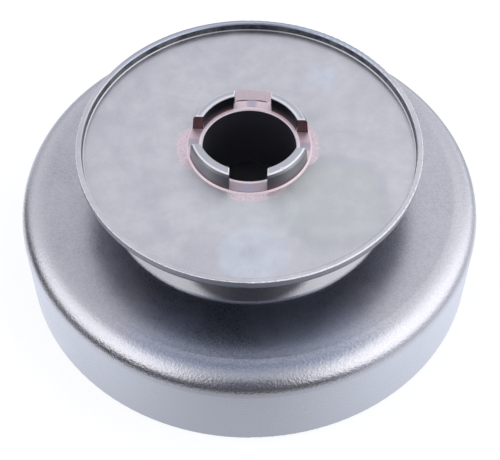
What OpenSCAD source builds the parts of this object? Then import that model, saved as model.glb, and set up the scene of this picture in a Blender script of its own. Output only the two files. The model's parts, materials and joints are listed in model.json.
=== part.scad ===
// Chainsaw clutch drum.
// A pressed cup carries a brazed chain sprocket, with a bevelled flange below the chain
// and a dished disc above it. The sprocket's hub ends in a crown of notches.
// The origin is on the drum's axis, in the plane of the cup's open rim.

/* [Drum] */
// Outside diameter of the drum
drum_d = 76; // [66:0.5:90]
// Height of the drum, from its open rim to its flat top
drum_h = 17; // [14:0.5:22]
// Thickness of the drum's sheet
drum_sheet = 2; // [1.5:0.1:2.6]
// Outside radius of the drum's shoulder
shoulder_r = 4.3; // [3.2:0.1:6]
// Rounding of the drum's open rim
drum_rim_r = 0.4; // [0.1:0.05:0.6]

/* [Lower flange] */
// Outside diameter of the flange below the chain
flange_d = 47.2; // [40:0.2:54]
// Thickness of the flange
flange_h = 2; // [1.2:0.1:3]
// Height of the flange's upright edge, under its bevel
flange_edge_h = 0.35; // [0.2:0.05:0.8]
// Width of the flange's bevel, seen from above
flange_bevel_w = 1.65; // [0.8:0.05:2.5]

/* [Sprocket] */
// Number of teeth
tooth_count = 7; // [7:1:9]
// Pitch of the saw chain that the teeth drive
chain_pitch = 8.255; // [8.255:0.325 inch, 9.525:3/8 inch]
// Distance from the chain's rivet line down to the edge of its side links
strap_drop = 3.3; // [2.8:0.1:4]
// Depth of the gaps between the teeth
gullet_depth = 4.8; // [3.6:0.1:5]
// Radius at the bottom of the gaps
gullet_r = 2.5; // [1.8:0.1:3]
// Slope of each tooth's flank against the middle line of its gap
flank_angle = 24; // [15:1:30]
// Clear width of the chain space, between the flange and the disc
chain_space_w = 6.8; // [5:0.1:9]

/* [Guide disc] */
// Outside diameter of the dished disc
disc_d = 55; // [50:0.5:60]
// Height of the disc, from its underside to the top of its lip
disc_h = 2.3; // [1.8:0.1:4]
// Thickness of the disc's sheet
disc_sheet = 0.9; // [0.6:0.05:1.1]
// Outside radius of the bend at the foot of the lip
disc_bend_r = 1.2; // [1.1:0.05:1.5]
// Rounding of the lip's top edges
disc_lip_r = 0.2; // [0.05:0.05:0.28]

/* [Hub] */
// Outside diameter of the hub, where it passes through the disc
hub_d = 19.5; // [18.6:0.1:20.2]
// Diameter of the bore that the needle bearing runs in
bore_d = 15; // [13:0.1:15.6]
// Bevel at both ends of the bore
bore_bevel = 0.2; // [0.05:0.05:0.25]
// Inside diameter of the hub's crown
crown_bore_d = 16.1; // [15.6:0.1:17]
// Height of the notches' floor above the disc's floor
notch_floor_h = 0.3; // [0.1:0.05:0.8]
// Height of the crown's teeth above the notches' floor
crown_h = 3.1; // [2:0.1:4.5]
// Number of notches in the crown
notch_count = 4; // [3:1:5]
// Width of each notch
notch_w = 5.9; // [4:0.1:7]
// Turn of the notches about the drum's axis, in degrees
notch_turn = -2.6; // [-20:0.2:20]
// How far off centre the notches were cut, towards +X
notch_shift = 0.2; // [-0.3:0.05:0.3]
// Bevel along the upper edges of each notch
notch_bevel = 0.15; // [0.05:0.05:0.3]
// How far the crown narrows from its foot to its bevel, on the radius
crown_taper = 0.2; // [0:0.05:0.3]
// Width of the bevel round the crown's outer edge
crown_bevel_w = 0.42; // [0.3:0.02:0.5]
// Height of the same bevel
crown_bevel_h = 0.65; // [0.4:0.05:1]
// Rounding between that bevel and the crown's top
crown_edge_r = 0.25; // [0.05:0.05:0.3]
// Direction of the nick in the crown's outer edge, in degrees
nick_turn = -56; // [-60:1:-30]
// Width of the nick
nick_w = 0.5; // [0.2:0.1:1]
// Length of the nick in the crown's top
nick_reach = 0.25; // [0.1:0.05:0.4]
// Diameter of the hub's tail, where it passes through the flange and the drum
tail_d = 20.4; // [19.6:0.1:20.8]
// Length of tail that stands out inside the drum
tail_h = 1; // [0.7:0.1:2.5]

/* [Brazing] */
// Gap round the hub at each brazed joint
braze_gap = 0.06; // [0.03:0.01:0.12]
// Width of the copper fillet on the disc's floor
disc_braze_w = 0.25; // [0.1:0.05:0.8]
// Height of the same fillet against the hub
disc_braze_h = 0.2; // [0.1:0.05:0.25]
// Leg of the copper fillet inside the drum
cup_braze_leg = 0.6; // [0.3:0.05:0.65]

/* [Hidden] */

$fn = 128;
// Number of sides of the small rounded corners
corner_fn = 48;
// Number of steps of the rounding at the crown's edge
edge_steps = 4;
// How far a cutting shape reaches past the surface that it cuts
cut = 1;

drum_r = drum_d / 2;
flange_r = flange_d / 2;
disc_r = disc_d / 2;
hub_r = hub_d / 2;
bore_r = bore_d / 2;
crown_bore_r = crown_bore_d / 2;
tail_r = tail_d / 2;

// Levels above the open rim
cup_floor_z = drum_h - drum_sheet;
tail_z = cup_floor_z - tail_h;
chain_space_z = drum_h + flange_h;
disc_z = chain_space_z + chain_space_w;
disc_floor_z = disc_z + disc_sheet;
notch_floor_z = disc_floor_z + notch_floor_h;
crown_z = notch_floor_z + crown_h;

// The crown's bevel falls away at this angle, and the rounding above it starts at this radius
bevel_slope = atan2(crown_bevel_h, crown_bevel_w);
crown_edge = hub_r - crown_taper - crown_bevel_w;
crown_flat_r = crown_edge - crown_edge_r * tan(bevel_slope / 2);

// The chain lies on the teeth as a polygon with two rivets to each tooth
rivet_r = chain_pitch / (2 * sin(90 / tooth_count));
tip_r = rivet_r - strap_drop;
gullet_y = tip_r - gullet_depth + gullet_r;

steel = "#b4b6c0";
dark_steel = "#8b8c96";
copper = "#d8a9a4";

// Half section of a block from the axis out to r, rounded at its outer corners:
// by low_r at the bottom and by high_r at the top
module rounded_half(r, h, low_r, high_r) {
    difference() {
        square([r, h]);
        translate([r - low_r, low_r]) mirror([0, 1]) corner_waste(low_r);
        translate([r - high_r, h - high_r]) corner_waste(high_r);
    }
}

// What a rounded corner leaves away, seen from the centre of its arc
module corner_waste(r) {
    difference() {
        square(r + cut);
        circle(r, $fn = corner_fn);
    }
}

// Half section of a pressed bowl that stands on its floor, with a hole in the middle:
// bend_r is the outside radius of the bend, and edge_r rounds both edges of the free rim
module bowl_half(r, h, sheet, bend_r, edge_r, hole_r) {
    difference() {
        rounded_half(r, h, bend_r, edge_r);
        translate([0, sheet]) bowl_space(r - sheet, h, bend_r - sheet);
        translate([-cut, -cut]) square([hole_r + cut, sheet + 2 * cut]);
        translate([r - sheet + edge_r, h - edge_r]) mirror([1, 0]) corner_waste(edge_r);
    }
}

// Half section of the space inside a bowl, open at the top
module bowl_space(r, h, low_r) {
    difference() {
        translate([-cut, 0]) square([r + cut, h]);
        translate([r - low_r, low_r]) mirror([0, 1]) corner_waste(low_r);
    }
}

// Plan of one gap between two teeth, which opens along +Y
module gullet_plan() {
    flank_x = gullet_r * cos(flank_angle);
    flank_y = gullet_y - gullet_r * sin(flank_angle);
    mouth_y = tip_r + cut;
    mouth_x = flank_x + (mouth_y - flank_y) * tan(flank_angle);
    translate([0, gullet_y]) circle(gullet_r, $fn = corner_fn);
    polygon([[flank_x, flank_y], [mouth_x, mouth_y], [-mouth_x, mouth_y], [-flank_x, flank_y]]);
}

// The toothed ring, from the flange up to the disc, which reaches into the hub's wall
module teeth() {
    translate([0, 0, chain_space_z]) linear_extrude(chain_space_w) difference() {
        circle(tip_r);
        circle((bore_r + hub_r) / 2);
        for (i = [0 : tooth_count - 1]) rotate(i * 360 / tooth_count) gullet_plan();
    }
}

// The turned form of the hub, from its tail to the bevelled crown, with the bore,
// the bevels at the bore's ends and the ledge at the foot of the crown's wider bore.
// The turn starts in the middle of a tooth of the crown, clear of the notches.
module hub_ring() {
    rounding = [for (i = [0 : edge_steps]) crown_rounding(bevel_slope * (1 - i / edge_steps))];
    rotate(notch_turn + 180 / notch_count) rotate_extrude() polygon(concat([
        [bore_r, tail_z + bore_bevel],
        [bore_r + bore_bevel, tail_z],
        [tail_r, tail_z],
        [tail_r, chain_space_z],
        [hub_r, chain_space_z],
        [hub_r, notch_floor_z],
        [hub_r - crown_taper, crown_z - crown_bevel_h]
    ], rounding, [
        [crown_bore_r, crown_z],
        [crown_bore_r, notch_floor_z],
        [bore_r + bore_bevel, notch_floor_z],
        [bore_r, notch_floor_z - bore_bevel]
    ]));
}

// Point of the rounding between the crown's top and its bevel, where it has turned down by an angle
function crown_rounding(a) = [
    crown_flat_r + crown_edge_r * sin(a),
    crown_z - crown_edge_r * (1 - cos(a))
];

// The notches across the crown, bevelled along their upper edges
module notches() {
    side = notch_w / 2;
    for (i = [0 : notch_count - 1])
        translate([notch_shift, 0, notch_floor_z]) rotate(notch_turn + i * 360 / notch_count)
            rotate([90, 0, 90]) linear_extrude(hub_r + cut) polygon([
                [-side, 0],
                [side, 0],
                [side, crown_h - notch_bevel],
                [side + notch_bevel + cut, crown_h + cut],
                [-side - notch_bevel - cut, crown_h + cut],
                [-side, crown_h - notch_bevel]
            ]);
}

// A nick in the outer edge of the crown, left by a knock
module nick() {
    rotate(nick_turn) translate([crown_edge - nick_reach, 0, crown_z]) rotate([45, 0, 0])
        translate([0, -nick_w / sqrt(8), -nick_w / sqrt(8)]) cube([cut, nick_w / sqrt(2), nick_w / sqrt(2)]);
}

module drum_cup() {
    color(steel) translate([0, 0, drum_h]) mirror([0, 0, 1]) rotate_extrude()
        bowl_half(drum_r, drum_h, drum_sheet, shoulder_r, drum_rim_r, tail_r + braze_gap);
}

module lower_flange() {
    hole_r = tail_r + braze_gap;
    color(steel) rotate_extrude() polygon([
        [hole_r, drum_h],
        [flange_r, drum_h],
        [flange_r, drum_h + flange_edge_h],
        [flange_r - flange_bevel_w, chain_space_z],
        [hole_r, chain_space_z]
    ]);
}

module sprocket() {
    color(dark_steel) difference() {
        union() {
            hub_ring();
            teeth();
        }
        notches();
        nick();
    }
}

module guide_disc() {
    color(steel) translate([0, 0, disc_z]) rotate_extrude()
        bowl_half(disc_r, disc_h, disc_sheet, disc_bend_r, disc_lip_r, hub_r + braze_gap);
}

// Copper fillet that closes the joint between the hub and the disc's floor
module disc_braze() {
    color(copper) translate([0, 0, disc_floor_z]) rotate_extrude()
        polygon([[hub_r, 0], [hub_r + braze_gap + disc_braze_w, 0], [hub_r, disc_braze_h]]);
}

// Copper fillet that closes the joint between the hub's tail and the inside of the drum
module cup_braze() {
    leg = braze_gap + cup_braze_leg;
    color(copper) translate([0, 0, cup_floor_z - leg]) rotate_extrude() difference() {
        translate([tail_r, 0]) square(leg);
        translate([tail_r + leg, 0]) circle(leg, $fn = corner_fn);
    }
}

drum_cup();
lower_flange();
sprocket();
guide_disc();
disc_braze();
cup_braze();
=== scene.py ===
import json
import math
from collections import namedtuple

import bpy
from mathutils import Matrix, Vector


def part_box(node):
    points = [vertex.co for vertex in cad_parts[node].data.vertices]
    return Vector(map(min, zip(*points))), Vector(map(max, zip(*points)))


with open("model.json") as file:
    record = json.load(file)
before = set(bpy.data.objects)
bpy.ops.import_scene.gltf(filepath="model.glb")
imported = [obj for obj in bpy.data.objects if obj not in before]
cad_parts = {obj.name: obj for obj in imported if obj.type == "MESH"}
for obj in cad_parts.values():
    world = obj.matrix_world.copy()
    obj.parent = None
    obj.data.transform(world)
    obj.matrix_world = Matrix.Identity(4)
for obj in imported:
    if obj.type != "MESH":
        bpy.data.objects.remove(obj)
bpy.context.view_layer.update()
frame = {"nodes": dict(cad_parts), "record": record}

MM = 0.001

# Directions about the drum's axis, in degrees: the camera stands in front, on the -Y side
FRONT = -90
REAR_NOTCH = 88
REAR_RIGHT = 42
FRONT_LEFT = -128

# Radii and levels that the materials follow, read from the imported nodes
DRUM_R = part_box("drum_cup")[1].x
DRUM_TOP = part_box("drum_cup")[1].z
DISC_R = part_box("guide_disc")[1].x
DISC_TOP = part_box("guide_disc")[1].z
DISC_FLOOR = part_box("disc_braze")[0].z
BRAZE_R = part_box("disc_braze")[1].x
BORE_R = next(m["dims"]["r_mm"] for m in frame["record"]["mounts"] if m["name"] == "bearing_bore") * MM

# The camera, as fitted to the circles of the drum in the photo
CAMERA_DISTANCE = 0.21061
CAMERA_ELEVATION = math.radians(52.80)
AIM = Vector((0, 0, 4.46 * MM))
LENS = 87.11
SENSOR_WIDTH = 36
CAMERA_SHIFT_X = 0.0012

FLOOR_HALF_WIDTH = 3.0
WHITE = (1.0, 1.0, 1.0)
BLACK = (0.0, 0.0, 0.0)

# The Mix node's sockets for colours
MIX_A = 6
MIX_B = 7
MIX_RESULT = 2


class Shader:
    """A material's or the world's node tree, with short calls for the nodes used here."""

    def __init__(self, owner):
        owner.use_nodes = True
        self.tree = owner.node_tree
        self.tree.nodes.clear()

    def add(self, kind, inputs=None, out=0, **props):
        """Adds a node, sets its inputs to values or links, and returns one of its outputs."""
        node = self.tree.nodes.new(kind)
        for key, value in props.items():
            setattr(node, key, value)
        for key, value in (inputs or {}).items():
            self.feed(node.inputs[key], value)
        return node.outputs[out]

    def feed(self, socket, value):
        if isinstance(value, bpy.types.NodeSocket):
            self.tree.links.new(value, socket)
        elif socket.type == "RGBA":
            socket.default_value = (*value, 1)
        else:
            socket.default_value = value

    def math(self, op, a, b=0.0):
        return self.add("ShaderNodeMath", {0: a, 1: b}, operation=op)

    def plus(self, a, b):
        return self.math("ADD", a, b)

    def minus(self, a, b):
        return self.math("SUBTRACT", a, b)

    def times(self, first, *others):
        product = first
        for other in others:
            product = self.math("MULTIPLY", product, other)
        return product

    def larger(self, a, b):
        return self.math("MAXIMUM", a, b)

    def inverse(self, share):
        """0 where share is 1, and 1 where it is 0."""
        return self.minus(1.0, share)

    def measure(self, op, a, b=(0, 0, 0)):
        """A number from one or two vectors, such as their distance or dot product."""
        return self.add("ShaderNodeVectorMath", {0: a, 1: b}, out=1, operation=op)

    def split(self, vector):
        """The x, y and z of a vector."""
        return self.add("ShaderNodeSeparateXYZ", {0: vector}).node.outputs

    def mix(self, share, a, b, **props):
        """Colour a where share is 0, and b where it is 1."""
        inputs = {0: share, MIX_A: a, MIX_B: b}
        return self.add("ShaderNodeMix", inputs, out=MIX_RESULT, data_type="RGBA", **props)

    def ramp(self, value, low, high, to_low=0.0, to_high=1.0):
        """A smooth step from to_low to to_high as value goes from low to high."""
        inputs = {0: value, 1: low, 2: high, 3: to_low, 4: to_high}
        return self.add("ShaderNodeMapRange", inputs, interpolation_type="SMOOTHSTEP")

    def fall(self, value, low, high, most=1.0):
        """A smooth step down from most to 0 as value goes from low to high."""
        return self.ramp(value, low, high, most, 0.0)

    def band(self, value, low, high, soft):
        """1 between low and high, and 0 outside, with soft edges."""
        rise = self.ramp(value, low - soft, low + soft)
        fall = self.fall(value, high - soft, high + soft)
        return self.times(rise, fall)

    def noise(self, vector, size, detail=3.0, rough=0.5, warp=0.0):
        """Noise whose features are about size metres across."""
        inputs = {"Vector": vector, "Scale": 1 / size, "Detail": detail, "Roughness": rough}
        return self.add("ShaderNodeTexNoise", {**inputs, "Distortion": warp})

    def bump(self, height, strength, depth, normal=None):
        inputs = {"Height": height, "Strength": strength, "Distance": depth}
        if normal is not None:
            inputs["Normal"] = normal
        return self.add("ShaderNodeBump", inputs)

    def finish(self, surface, target="ShaderNodeOutputMaterial"):
        self.tree.links.new(surface, self.tree.nodes.new(target).inputs["Surface"])


class Place:
    """Where a shaded point lies on the drum, and which way its surface faces there."""

    def __init__(self, shader):
        self.shader = shader
        coordinates = shader.add("ShaderNodeTexCoord").node.outputs
        self.at = coordinates["Object"]
        self.normal = coordinates["Normal"]
        self.x, self.y, self.z = shader.split(self.at)
        self.flat = shader.add("ShaderNodeCombineXYZ", {0: self.x, 1: self.y})
        self.r = shader.measure("LENGTH", self.flat)
        self.azimuth = shader.math("ARCTAN2", self.y, self.x)

    def up(self):
        """How far the surface faces up."""
        return self.shader.split(self.normal)[2]

    def away(self):
        """How far the surface faces away from the axis."""
        outward = self.shader.add("ShaderNodeVectorMath", {0: self.flat}, operation="NORMALIZE")
        return self.shader.measure("DOT_PRODUCT", self.normal, outward)

    def towards(self, degrees):
        """1 in the given direction from the axis, and -1 on the opposite side."""
        turned = self.shader.minus(self.azimuth, math.radians(degrees))
        return self.shader.math("COSINE", turned)

    def share_of(self, stain):
        """How much of a stain's colour shows, with an uneven border."""
        centre = (stain.x * MM, stain.y * MM, 0)
        away = self.shader.measure("DISTANCE", self.flat, centre)
        wave = self.shader.noise(self.at, stain.radius * 0.8 * MM, detail=4.0, rough=0.6)
        shift = self.shader.times(self.shader.minus(wave, 0.5), stain.ragged * MM)
        inner = (stain.radius - stain.soft) * MM
        outer = (stain.radius + stain.soft) * MM
        return self.shader.times(self.shader.fall(self.shader.plus(away, shift), inner, outer), stain.share)


def new_material(name):
    """An empty material, its shader, and the places on the part that its nodes can follow."""
    material = bpy.data.materials.new(name)
    shader = Shader(material)
    return material, shader, Place(shader)


def assign(node, material):
    mesh = frame["nodes"][node].data
    mesh.materials.clear()
    mesh.materials.append(material)


# The steel's grain: two sizes and their depths, and how strong the fine grain is beside the coarse
COARSE_GRAIN = 0.42 * MM
COARSE_DEPTH = 0.055 * MM
FINE_GRAIN = 0.16 * MM
FINE_DEPTH = 0.012 * MM
FINE_SHARE = 0.6


def steel_surface(shader, place, colour, rough, pebble, metal=1.0):
    """Satin metal. pebble is how strongly its fine grain stands out, from 0 to 1."""
    coarse = shader.noise(place.at, COARSE_GRAIN, detail=3.0, rough=0.55)
    fine = shader.noise(place.at, FINE_GRAIN, detail=2.0, rough=0.5)
    pits = shader.bump(coarse, pebble, COARSE_DEPTH)
    fine_pebble = pebble * FINE_SHARE if isinstance(pebble, float) else shader.times(pebble, FINE_SHARE)
    normal = shader.bump(fine, fine_pebble, FINE_DEPTH, pits)
    glint = shader.ramp(fine, 0.3, 0.7, -0.04, 0.04)
    return shader.add("ShaderNodeBsdfPrincipled", {
        "Base Color": colour,
        "Metallic": metal,
        "Roughness": shader.plus(rough, glint),
        "Normal": normal,
    })


def mottled(shader, place, tone, size, share, dark):
    """Darkens a tone unevenly, up to the given share of the dark colour."""
    mottle = shader.noise(place.at, size, detail=4.0, rough=0.65)
    return shader.mix(shader.ramp(mottle, 0.36, 0.64, 0.0, share), tone, dark)


# Where the drum's top bends into its shoulder, and the shoulder into its wall
BEND_START_R = DRUM_R - 5.0 * MM
BEND_FULL_R = DRUM_R - 2.6 * MM
WALL_START_Z = DRUM_TOP - 3.2 * MM
WALL_FULL_Z = DRUM_TOP - 4.4 * MM

# The crease at the front of the drum's top, where a dark reflection is painted
CREASE_START_R = DRUM_R - 4.8 * MM
CREASE_END_R = DRUM_R - 3.7 * MM
CREASE_SOFT = 0.8 * MM

# The drum's colours. A pair holds the two tones that a cloudy noise mixes.
DRUM_TOP_PAIR = ((0.475, 0.475, 0.50), (0.55, 0.545, 0.575))
DRUM_MOTTLE = (0.34, 0.34, 0.37)
DRUM_SHOULDER = (0.63, 0.62, 0.64)
DRUM_SPECKLE = (0.92, 0.92, 0.95)
DRUM_WALL = (0.62, 0.63, 0.66)
# Painted reflections at the front of the drum's top: blue on the top, dark and blue in its crease
FRONT_PAINTED_BLUE_REFLECTION = (0.46, 0.51, 0.64)
CREASE_PAINTED_DARK_REFLECTION = (0.22, 0.235, 0.29)
CREASE_PAINTED_BLUE_REFLECTION = (0.30, 0.33, 0.41)


def drum_steel():
    """Pressed steel: a satin top, a pebbled shoulder where the sheet was drawn, and a smoother wall. The
    front of the top has a painted blue reflection, and a painted dark reflection in its crease.
    """
    material, shader, place = new_material("drum_steel")
    cloud = shader.noise(place.at, 18 * MM, detail=5.0, rough=0.62, warp=0.6)
    wall = shader.fall(place.z, WALL_FULL_Z, WALL_START_Z)
    edge = shader.ramp(place.r, BEND_START_R, BEND_FULL_R)
    shoulder = shader.minus(edge, shader.times(edge, wall))

    tone = shader.mix(shader.ramp(cloud, 0.35, 0.65), *DRUM_TOP_PAIR)
    tone = mottled(shader, place, tone, 2.2 * MM, 0.10, DRUM_MOTTLE)
    tone = shader.mix(shoulder, tone, DRUM_SHOULDER)
    # Painted blue reflection on the front of the top, and a painted dark reflection in its crease
    tone = paint_front_reflection(shader, place, tone)
    speckle = shader.ramp(shader.noise(place.at, 0.3 * MM, detail=3.0, rough=0.6), 0.34, 0.62)
    tone = shader.mix(shader.times(speckle, 0.22), tone, DRUM_SPECKLE)
    tone = shader.mix(wall, tone, DRUM_WALL)

    pebble = shader.plus(shader.times(shoulder, 0.84), 0.16)
    smoother = shader.ramp(place.r, DRUM_R - 2.2 * MM, DRUM_R - 0.8 * MM, -0.02, -0.07)
    rough = shader.plus(shader.ramp(cloud, 0.3, 0.7, 0.30, 0.36), smoother)
    shader.finish(steel_surface(shader, place, tone, rough, pebble))
    return material


def paint_front_reflection(shader, place, tone):
    """Paints a blue reflection on the front of the drum's top, and a dark reflection in the crease where
    it bends into the shoulder.
    """
    ahead = shader.ramp(place.towards(FRONT), 0.80, 1.0)
    crease = shader.times(ahead, shader.band(place.r, CREASE_START_R, CREASE_END_R, CREASE_SOFT))
    # Painted dark reflection in the crease
    tone = shader.mix(shader.times(crease, 0.8), tone, CREASE_PAINTED_DARK_REFLECTION)
    inner = shader.fall(place.r, DRUM_R - 3.0 * MM, DRUM_R - 1.2 * MM, 0.85)
    blue_reflection = shader.times(shader.ramp(place.towards(FRONT), 0.76, 0.97), inner)
    return shader.mix(blue_reflection, tone, shader.mix(crease, FRONT_PAINTED_BLUE_REFLECTION, CREASE_PAINTED_BLUE_REFLECTION))


# Water stains on the disc. Their places are in millimetres, soft is half the width of the border,
# ragged is how far the border strays, and share is how much of the colour shows.
Stain = namedtuple("Stain", "x y radius soft ragged share colour")
GREEN_STAIN = Stain(13, -11.5, 8.5, 2.2, 5.0, 0.75, (0.64, 0.675, 0.64))
FRONT_STAIN = Stain(0.6, -21.5, 5.2, 0.7, 3.0, 0.80, (0.76, 0.80, 0.86))
FRONT_SPOT = Stain(-0.3, -21.0, 1.1, 0.6, 0.6, 0.50, (0.60, 0.62, 0.665))
HUB_STAIN = Stain(0.5, -12.5, 6.8, 0.5, 2.6, 0.35, (0.75, 0.78, 0.78))
REAR_STAIN = Stain(12.4, 15.3, 2.6, 1.2, 2.0, 0.60, (0.74, 0.79, 0.86))

# Copper that ran from the hub on to the disc: direction and half width in degrees, length in millimetres
Run = namedtuple("Run", "direction half_width length")
COPPER_RUNS = (Run(-83, 30, 1.2), Run(184, 28, 1.4), Run(2, 28, 1.0), Run(87, 28, 2.0))

# Where the disc's lip stands, and the edges of its top and outer side
LIP_START_R = DISC_R - 1.25 * MM
LIP_FULL_R = DISC_R - 0.95 * MM
LIP_TOP_START_Z = DISC_TOP - 0.30 * MM
LIP_TOP_FULL_Z = DISC_TOP - 0.12 * MM
LIP_OUTER_START_R = DISC_R - 0.12 * MM
LIP_OUTER_FULL_R = DISC_R - 0.04 * MM

# The disc's colours
DISC_PAIR = ((0.685, 0.68, 0.70), (0.755, 0.76, 0.77))
DISC_MOTTLE = (0.50, 0.495, 0.52)
# Painted dark reflection on the outward-facing walls
DISC_OUTER_WALL_PAINTED_REFLECTION = (0.16, 0.16, 0.175)
# Painted shade on the downward-facing underside
DISC_UNDERSIDE_PAINTED_SHADE = (0.30, 0.325, 0.41)
GREEN_BORDER = (0.50, 0.515, 0.52)
# Painted shade on the lip's inner wall
LIP_INNER_WALL_PAINTED_SHADE = (0.045, 0.046, 0.056)
# Painted reflections on the lip's top at the rear, grey and then blue along its inner side
LIP_REAR_TOP_PAINTED_REFLECTION = (0.40, 0.41, 0.45)
LIP_REAR_PAINTED_BLUE_REFLECTION = (0.62, 0.70, 0.84)
COPPER_RUN_PAIR = ((0.80, 0.645, 0.675), (0.93, 0.82, 0.845))
COPPER_RUN_REAR = (0.56, 0.44, 0.47)


def disc_steel():
    """Pressed steel with faint water stains and copper that ran from the hub. The lip has a painted
    highlight along its outer edge, painted shade on its inner wall and painted reflections on its outer
    wall and rear top, and painted shade darkens the underside.
    """
    material, shader, place = new_material("disc_steel")
    up = place.up()
    away = place.away()
    cloud = shader.noise(place.at, 13 * MM, detail=5.0, rough=0.62, warp=0.8)
    lip = shader.ramp(place.r, LIP_START_R, LIP_FULL_R)
    # Painted highlight along the lip's outer edge
    highlit_edge = paint_lip_highlight(shader, place, up, away)
    near_hub = shader.fall(place.r, BRAZE_R + 1.5 * MM, BRAZE_R + 5 * MM, 0.2)

    tone = shader.mix(shader.ramp(cloud, 0.35, 0.65), *DISC_PAIR)
    tone = water_stains(shader, place, tone)
    # Painted shade and reflections on the lip
    tone = paint_lip_shade_and_reflection(shader, place, tone, lip)
    tone = mottled(shader, place, tone, 2.6 * MM, 0.22, DISC_MOTTLE)
    # Painted dark reflection on the outward-facing walls
    tone = shader.mix(shader.ramp(away, 0.5, 0.9, 0.0, 0.55), tone, DISC_OUTER_WALL_PAINTED_REFLECTION)
    # Painted shade on the downward-facing underside
    tone = shader.mix(shader.fall(up, -0.9, -0.5), tone, DISC_UNDERSIDE_PAINTED_SHADE)
    # Painted white highlight along the lip's outer edge
    tone = shader.mix(highlit_edge, tone, WHITE)
    tone = copper_stain(shader, place, tone)

    rough = shader.plus(shader.ramp(cloud, 0.3, 0.7, 0.30, 0.38), near_hub)
    pebble = shader.plus(shader.times(lip, 0.6), 0.14)
    metal = shader.inverse(shader.plus(highlit_edge, near_hub))
    shader.finish(steel_surface(shader, place, tone, rough, pebble, metal))
    return material


def water_stains(shader, place, tone):
    """The stains on the disc's floor. The green one has a greyer border."""
    green = place.share_of(GREEN_STAIN)
    tone = shader.mix(green, tone, GREEN_STAIN.colour)
    border = shader.times(green, shader.minus(GREEN_STAIN.share, green), 2.4)
    tone = shader.mix(border, tone, GREEN_BORDER)
    for stain in (FRONT_STAIN, FRONT_SPOT, HUB_STAIN, REAR_STAIN):
        tone = shader.mix(place.share_of(stain), tone, stain.colour)
    return tone


def paint_lip_shade_and_reflection(shader, place, tone, lip):
    """Painted shade on the inner wall, and at the rear a painted reflection that makes the top greyer
    and bluish along its inner side.
    """
    top = shader.ramp(place.z, LIP_TOP_START_Z, LIP_TOP_FULL_Z)
    outer = shader.ramp(place.r, LIP_OUTER_START_R, LIP_OUTER_FULL_R)
    shaded_inner_wall = shader.times(lip, shader.inverse(shader.larger(top, outer)))
    above_floor = shader.ramp(place.z, DISC_FLOOR + 0.03 * MM, DISC_FLOOR + 0.18 * MM)
    # Painted shade on the lip's inner wall
    tone = shader.mix(shader.times(shaded_inner_wall, above_floor), tone, LIP_INNER_WALL_PAINTED_SHADE)
    rear = shader.ramp(place.y, 8 * MM, 24 * MM)
    inner_side = shader.fall(place.r, DISC_R - 0.6 * MM, DISC_R - 0.35 * MM, 0.8)
    # Painted grey and blue reflections on the lip's top at the rear
    crest_with_reflection = shader.mix(shader.times(rear, 0.8), tone, LIP_REAR_TOP_PAINTED_REFLECTION)
    crest_with_reflection = shader.mix(shader.times(rear, inner_side), crest_with_reflection, LIP_REAR_PAINTED_BLUE_REFLECTION)
    return shader.mix(shader.times(lip, top), tone, crest_with_reflection)


def paint_lip_highlight(shader, place, up, away):
    """A painted highlight: the glittering white line along the lip's rounded outer edge."""
    rounded = shader.times(shader.band(up, 0.30, 0.93, 0.05), shader.ramp(away, 0.25, 0.45))
    high = shader.ramp(place.z, DISC_TOP - 0.35 * MM, DISC_TOP - 0.25 * MM)
    grain = shader.noise(place.at, 0.22 * MM, detail=2.0, rough=0.6)
    return shader.times(rounded, high, shader.ramp(grain, 0.36, 0.54, 0.35, 1.0))


def copper_stain(shader, place, tone):
    """Pale copper that ran from the hub on to the disc beside the four notches."""
    reach = 0.15 * MM
    for run in COPPER_RUNS:
        wide = math.cos(math.radians(run.half_width))
        inner = math.cos(math.radians(run.half_width * 0.55))
        lobe = shader.ramp(place.towards(run.direction), wide, inner, 0.0, run.length * MM)
        reach = shader.plus(lobe, reach)
    ragged = shader.noise(place.at, 1.3 * MM, detail=4.0, rough=0.65)
    wander = shader.times(shader.minus(ragged, 0.5), 1.1 * MM)
    past = shader.minus(place.r, shader.plus(reach, wander))
    share = shader.fall(past, BRAZE_R - 0.35 * MM, BRAZE_R + 0.15 * MM, 0.9)
    streak = shader.noise(place.at, 0.4 * MM, detail=4.0, rough=0.65, warp=0.3)
    pink = shader.mix(shader.ramp(streak, 0.34, 0.66), *COPPER_RUN_PAIR)
    rear = shader.ramp(place.y, 6 * MM, 10 * MM, 0.0, 0.55)
    pink = shader.mix(rear, pink, COPPER_RUN_REAR)
    return shader.mix(share, tone, pink)


# The flange's colours
FLANGE_PAIR = ((0.34, 0.34, 0.355), (0.44, 0.435, 0.45))
# Painted dark reflection on the flange's front
FLANGE_PAINTED_DARK_REFLECTION = (0.05, 0.05, 0.06)
# Painted highlight on the lower edge, and painted shade on that edge in front
FLANGE_EDGE_PAINTED_HIGHLIGHT = (0.78, 0.78, 0.80)
FLANGE_FRONT_EDGE_PAINTED_SHADE = (0.22, 0.22, 0.24)


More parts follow.
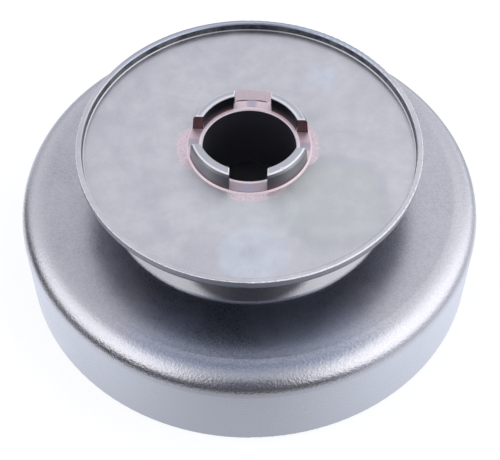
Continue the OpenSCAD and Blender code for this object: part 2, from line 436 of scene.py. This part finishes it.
def flange_steel():
    """Steel with a painted dark reflection in front, in a wedge that widens upwards, and a painted
    highlight along the lower edge, with painted shade on that edge in front.
    """
    material, shader, place = new_material("flange_steel")
    cloud = shader.noise(place.at, 9 * MM, detail=4.0, rough=0.6)
    tone = shader.mix(cloud, *FLANGE_PAIR)
    widening = shader.ramp(place.z, DRUM_TOP + 0.3 * MM, DRUM_TOP + 1.7 * MM, 0.0, 0.05)
    wedge = shader.ramp(shader.plus(place.towards(FRONT), widening), 0.945, 1.0, 0.0, 0.88)
    # Painted dark reflection in a wedge at the front
    tone = shader.mix(wedge, tone, FLANGE_PAINTED_DARK_REFLECTION)
    highlit_edge = shader.ramp(place.away(), 0.80, 0.95, 0.0, 0.8)
    ahead = shader.ramp(place.towards(FRONT), 0.88, 0.98)
    # Painted highlight along the lower edge, with painted shade on that edge in front
    tone = shader.mix(highlit_edge, tone, shader.mix(ahead, FLANGE_EDGE_PAINTED_HIGHLIGHT, FLANGE_FRONT_EDGE_PAINTED_SHADE))
    metal = shader.inverse(highlit_edge)
    shader.finish(steel_surface(shader, place, tone, 0.30, 0.35, metal))
    return material


# The hub's notches, as they are turned in the photo, and the dark line behind the rear one
NOTCHES = 4
NOTCH_TURN = math.radians(-2.6)
DARK_LINE_START_R = 9.50 * MM
DARK_LINE_END_R = 9.76 * MM

# Where the crown starts, and heights above the disc's floor: the teeth stand above the notches'
# floors, and the painted highlight along their upper edge is close to their tops
CROWN_START_Z = DISC_FLOOR + 0.05 * MM
CROWN_FULL_Z = DISC_FLOOR + 0.15 * MM
TOOTH_START_H = 1.2 * MM
TOOTH_FULL_H = 1.6 * MM
EDGE_HIGHLIGHT_START_H = 3.09 * MM
EDGE_HIGHLIGHT_FULL_H = 3.21 * MM

# The sprocket's colours
HIDDEN_PAIR = ((0.40, 0.40, 0.42), (0.50, 0.50, 0.52))
BORE_DARK = (0.20, 0.20, 0.245)
# Painted highlight on the teeth's corners and upper edges
EDGE_PAINTED_HIGHLIGHT = (0.98, 0.98, 1.0)
TOOTH_TOP_PAIR = ((0.54, 0.545, 0.57), (0.64, 0.645, 0.67))
CROWN_OUTSIDE_PAIR = ((0.26, 0.26, 0.275), (0.36, 0.36, 0.375))
# Painted dark reflection on the crown's front wall
CROWN_FRONT_PAINTED_DARK_REFLECTION = (0.085, 0.083, 0.095)
CROWN_FOOT = (0.22, 0.12, 0.13)
# Painted shade on the crown's inside, reddish at its foot
CROWN_INSIDE_PAINTED_SHADE = (0.10, 0.105, 0.125)
CROWN_INSIDE_RED_FOOT_PAINTED_SHADE = (0.30, 0.13, 0.15)
TOOTH_END_PAIR = ((0.10, 0.06, 0.065), (0.15, 0.09, 0.095))
NOTCH_PAIR = ((0.80, 0.64, 0.68), (0.97, 0.80, 0.83))
NOTCH_FRONT = (0.42, 0.36, 0.40)
NOTCH_MIDDLE = (0.47, 0.455, 0.53)
NOTCH_LEDGE = (0.98, 0.84, 0.87)
DARK_LINE_COLOUR = (0.10, 0.05, 0.06)


def sprocket_steel():
    """Machined steel. The crown above the disc's floor has bright tops with painted highlights on their
    edges, grey, reddish and dark walls with a painted dark reflection in front and painted shade
    inside, and copper in its notches, and the bore is dark."""
    material, shader, place = new_material("sprocket_steel")
    up = place.up()
    away = place.away()
    height = shader.minus(place.z, DISC_FLOOR)
    cloud = shader.noise(place.at, 2.4 * MM, detail=4.0, rough=0.6)
    crown = shader.ramp(place.z, CROWN_START_Z, CROWN_FULL_Z)
    tooth = shader.ramp(height, TOOTH_START_H, TOOTH_FULL_H)
    ledge = shader.fall(place.r, BORE_R + 0.50 * MM, BORE_R + 0.62 * MM)
    bevel = shader.times(ledge, shader.ramp(up, 0.5, 0.65))
    edge_highlight = shader.times(paint_edge_highlights(shader, height, up, away), crown)
    upright = shader.fall(up, 0.3, 0.5)
    bore = shader.times(shader.fall(place.r, BORE_R + 0.02 * MM, BORE_R + 0.1 * MM), upright)

    wall = crown_walls(shader, place, cloud, height, away, crown)
    floor = notch_floors(shader, place, cloud, ledge)
    level = shader.mix(tooth, floor, tooth_tops(shader, place, cloud))
    flat = shader.ramp(up, 0.80, 0.97)
    shown = shader.mix(shader.larger(flat, bevel), wall, level)
    hidden = shader.mix(cloud, *HIDDEN_PAIR)
    tone = shader.mix(crown, hidden, shown)
    tone = shader.mix(bore, tone, BORE_DARK)
    # Painted white highlight on the teeth's corners and upper edges
    tone = shader.mix(edge_highlight, tone, EDGE_PAINTED_HIGHLIGHT)

    rough = shader.ramp(height, 0.4 * MM, 1.4 * MM, 0.5, 0.34)
    low_bevel = shader.times(bevel, shader.minus(crown, tooth))
    metal = shader.inverse(shader.times(shader.larger(edge_highlight, low_bevel), 0.9))
    shader.finish(steel_surface(shader, place, tone, rough, 0.3, metal))
    return material


def crown_walls(shader, place, cloud, height, away, crown):
    """Grey outside, with a red tint at the foot and a painted dark reflection in front. The ends are
    dark, and painted shade darkens the inside, which is reddish at its foot.
    """
    grey = shader.mix(cloud, *CROWN_OUTSIDE_PAIR)
    # Painted dark reflection on the front of the crown's wall
    grey = shader.mix(shader.ramp(place.towards(FRONT), 0.70, 0.97), grey, CROWN_FRONT_PAINTED_DARK_REFLECTION)
    foot = shader.times(shader.fall(height, 0.25 * MM, 1.3 * MM, 0.6), crown)
    outside = shader.mix(foot, grey, CROWN_FOOT)
    ends = shader.mix(cloud, *TOOTH_END_PAIR)
    inner_foot = shader.fall(height, 0.35 * MM, 0.9 * MM)
    # Painted shade on the inside, reddish at its foot
    inside = shader.mix(inner_foot, CROWN_INSIDE_PAINTED_SHADE, CROWN_INSIDE_RED_FOOT_PAINTED_SHADE)
    side = shader.mix(shader.fall(away, -0.7, -0.4), ends, inside)
    return shader.mix(shader.ramp(away, 0.35, 0.7), side, outside)


def notch_floors(shader, place, cloud, ledge):
    """Copper with a greyer stripe along the middle of each notch, and paler at the bore. A dark
    line runs behind the rear notch."""
    pink = shader.mix(cloud, *NOTCH_PAIR)
    pink = shader.mix(shader.ramp(place.towards(FRONT), 0.7, 0.9, 0.0, 0.8), pink, NOTCH_FRONT)
    dark_line = shader.band(place.r, DARK_LINE_START_R, DARK_LINE_END_R, 0.03 * MM)
    dark_line = shader.times(dark_line, shader.ramp(place.towards(REAR_NOTCH), 0.955, 0.975))
    pink = shader.mix(dark_line, pink, DARK_LINE_COLOUR)
    turn = shader.times(shader.minus(place.azimuth, NOTCH_TURN), NOTCHES)
    middle = shader.ramp(shader.math("COSINE", turn), 0.88, 1.0, 0.0, 0.7)
    pink = shader.mix(middle, pink, NOTCH_MIDDLE)
    return shader.mix(ledge, pink, NOTCH_LEDGE)


def tooth_tops(shader, place, cloud):
    """Bright steel, with a painted white highlight along the inner edge of the rear teeth."""
    bright = shader.mix(cloud, *TOOTH_TOP_PAIR)
    highlit_inner_edge = shader.fall(place.r, BORE_R + 0.65 * MM, BORE_R + 1.1 * MM)
    rear = shader.ramp(place.y, 1 * MM, 3 * MM)
    # Painted white highlight along the rear teeth's inner edge
    return shader.mix(shader.times(highlit_inner_edge, rear), bright, WHITE)


def paint_edge_highlights(shader, height, up, away):
    """A painted white highlight on the upright corners and upper edges of the teeth."""
    corner = shader.times(shader.band(away, 0.55, 0.85, 0.06), shader.fall(up, 0.2, 0.4))
    corner = shader.times(corner, shader.ramp(height, 1.5 * MM, 2.2 * MM))
    upper = shader.times(shader.ramp(height, EDGE_HIGHLIGHT_START_H, EDGE_HIGHLIGHT_FULL_H), shader.fall(up, 0.90, 0.98))
    return shader.larger(corner, upper)


# The braze's colours
BRAZE_PAIR = ((0.90, 0.70, 0.72), (0.97, 0.86, 0.87))


def copper():
    """Brazing copper, pale and only half bright."""
    material, shader, place = new_material("copper")
    cloud = shader.noise(place.at, 1.2 * MM, detail=3.0, rough=0.6)
    tone = shader.mix(cloud, *BRAZE_PAIR)
    shader.finish(steel_surface(shader, place, tone, 0.4, 0.25, 0.35))
    return material


# The floor: its glow to the camera, its dark side and its tint in mirror images, and the colour of
# its paper for the camera, for mirror images and for all other light
CAMERA_GLOW = 0.76
TABLE_DARK_SIDE = (0.08, 0.08, 0.085)
MIRRORED_TINT = (0.935, 0.97, 1.085)
PAPER_TO_CAMERA = (0.35, 0.35, 0.35)
PAPER_MIRRORED = (0.03, 0.03, 0.03)
PAPER = (0.85, 0.85, 0.87)


def table_glow(shader, place):
    """What the steel mirrors of the light table: bright beside the drum, dimmer in front of it and
    behind it, and dark past the table's front left edge."""
    beside = shader.math("ABSOLUTE", shader.plus(place.x, 3 * MM))
    close = shader.ramp(beside, 2 * MM, 45 * MM, 0.60, 1.06)
    ahead = shader.ramp(place.towards(FRONT), 0.5, 0.9)
    close = shader.minus(close, shader.times(ahead, shader.ramp(place.r, 43 * MM, 56 * MM, 0.0, 0.2)))
    far_right = shader.ramp(place.x, 78 * MM, 170 * MM, 0.0, 0.75)
    distant = shader.plus(shader.ramp(place.x, -40 * MM, 50 * MM, 0.57, 0.61), far_right)
    reach = shader.ramp(place.x, -40 * MM, 40 * MM, 80 * MM, 64 * MM)
    glow = shader.mix(shader.ramp(place.r, 46 * MM, reach), close, distant)
    rear_right = shader.ramp(place.towards(REAR_RIGHT), 0.86, 0.98)
    dimming = shader.times(rear_right, shader.fall(place.r, 60 * MM, 90 * MM), 0.22)
    glow = shader.mix(dimming, glow, BLACK)
    past_edge = shader.ramp(place.r, 61 * MM, 66 * MM)
    front_left = shader.ramp(place.towards(FRONT_LEFT), 0.12, 0.42)
    return shader.mix(shader.times(past_edge, front_left), glow, TABLE_DARK_SIDE)


def floor_material():
    """A white light table. The picture shows it white all over, with the drum's soft shadow, and
    only the steel's mirror images show its uneven glow."""
    material, shader, place = new_material("floor")
    path = shader.add("ShaderNodeLightPath").node
    to_camera = path.outputs["Is Camera Ray"]
    mirrored = path.outputs["Is Glossy Ray"]
    clear = shader.ramp(place.r, DRUM_R - 1.5 * MM, DRUM_R - 0.6 * MM)
    mirror_glow = shader.times(table_glow(shader, place), clear, mirrored)
    camera_glow = shader.times(clear, CAMERA_GLOW, to_camera)
    tint = shader.mix(mirrored, WHITE, MIRRORED_TINT)
    strength = shader.plus(mirror_glow, camera_glow)
    glow = shader.add("ShaderNodeEmission", {"Color": tint, "Strength": strength})
    albedo = shader.mix(shader.times(to_camera, clear), PAPER, PAPER_TO_CAMERA)
    albedo = shader.mix(shader.times(mirrored, clear), albedo, PAPER_MIRRORED)
    paper = shader.add("ShaderNodeBsdfDiffuse", {"Color": albedo})
    shader.finish(shader.add("ShaderNodeAddShader", {0: paper, 1: glow}))
    return material


def make_floor():
    half = FLOOR_HALF_WIDTH
    corners = [(-half, -half, 0), (half, -half, 0), (half, half, 0), (-half, half, 0)]
    mesh = bpy.data.meshes.new("floor")
    mesh.from_pydata(corners, [], [(0, 1, 2, 3)])
    floor = bpy.data.objects.new("floor", mesh)
    bpy.context.scene.collection.objects.link(floor)
    floor.data.materials.append(floor_material())


# Brighter parts of the light tent. start and full are the cosines of the angles from the direction
# at which they start and are full. TENT_TOP is the middle of the dimmer part above.
Glow = namedtuple("Glow", "direction start full strength")
RIGHT_GLOW = Glow((0.923, -0.300, 0.242), 0.52, 0.93, 0.80)
LEFT_GLOW = Glow((-0.847, -0.377, 0.375), 0.66, 0.94, 0.62)
REAR_GLOW = Glow((0.401, 0.430, 0.809), 0.90, 0.985, 0.32)
TENT_TOP = (0.0, -0.22, 0.975)

# The tent's colours
TENT_WALL = (0.72, 0.73, 0.81)
TENT_ABOVE = (0.44, 0.455, 0.52)
TENT_ZENITH = (0.24, 0.25, 0.30)
TENT_TOWARDS_CAMERA = (0.45, 0.465, 0.53)
TENT_DARK = (0.09, 0.10, 0.135)


def tent_light(shader, way):
    """The light tent by direction: brighter to the left, the right and the rear right, dimmer above
    and towards the camera, and dark in front and low down on the left."""
    x, y, z = shader.split(way)
    beside = shader.math("ABSOLUTE", x)
    above = shader.ramp(shader.measure("DOT_PRODUCT", way, TENT_TOP), 0.80, 0.94)
    tent = shader.mix(above, TENT_WALL, TENT_ABOVE)
    towards_camera = shader.times(shader.fall(y, -0.45, -0.05), shader.fall(beside, 0.25, 0.60))
    tent = shader.mix(towards_camera, tent, TENT_TOWARDS_CAMERA)
    tent = shader.mix(shader.ramp(z, 0.94, 0.99), tent, TENT_ZENITH)
    glows = 0.0
    for glow in (RIGHT_GLOW, LEFT_GLOW, REAR_GLOW):
        near = shader.measure("DOT_PRODUCT", way, glow.direction)
        glows = shader.plus(shader.ramp(near, glow.start, glow.full, 0.0, glow.strength), glows)
    lit = shader.mix(1.0, tent, glows, blend_type="ADD")
    level = shader.plus(z, shader.ramp(y, -0.3, 0.1, -0.02, 0.0))
    low_left = shader.times(shader.fall(level, 0.0, 0.09), shader.fall(x, -0.4, -0.1), 0.9)
    front = shader.times(shader.fall(y, -0.95, -0.74), shader.fall(beside, 0.14, 0.42))
    return shader.mix(shader.larger(front, low_left), lit, TENT_DARK)


def make_world():
    """The light tent for the object, and plain white for the camera."""
    world = bpy.data.worlds.new("tent")
    bpy.context.scene.world = world
    shader = Shader(world)
    way = shader.add("ShaderNodeTexCoord", out="Generated")
    path = shader.add("ShaderNodeLightPath").node
    colour = shader.mix(path.outputs["Is Camera Ray"], tent_light(shader, way), WHITE)
    background = shader.add("ShaderNodeBackground", {"Color": colour, "Strength": 1.0})
    shader.finish(background, "ShaderNodeOutputWorld")


def make_camera():
    data = bpy.data.cameras.new("camera")
    data.lens = LENS
    data.sensor_width = SENSOR_WIDTH
    data.shift_x = CAMERA_SHIFT_X
    data.clip_start = 0.01
    data.clip_end = 10
    camera = bpy.data.objects.new("camera", data)
    back = Vector((0, -math.cos(CAMERA_ELEVATION), math.sin(CAMERA_ELEVATION)))
    camera.location = AIM + back * CAMERA_DISTANCE
    camera.rotation_euler = (-back).to_track_quat("-Z", "Y").to_euler()
    bpy.context.scene.collection.objects.link(camera)
    bpy.context.scene.camera = camera


bpy.context.scene.view_settings.view_transform = "Standard"
make_camera()
make_floor()
make_world()
assign("drum_cup", drum_steel())
assign("guide_disc", disc_steel())
assign("lower_flange", flange_steel())
assign("sprocket", sprocket_steel())
braze = copper()
assign("disc_braze", braze)
assign("cup_braze", braze)
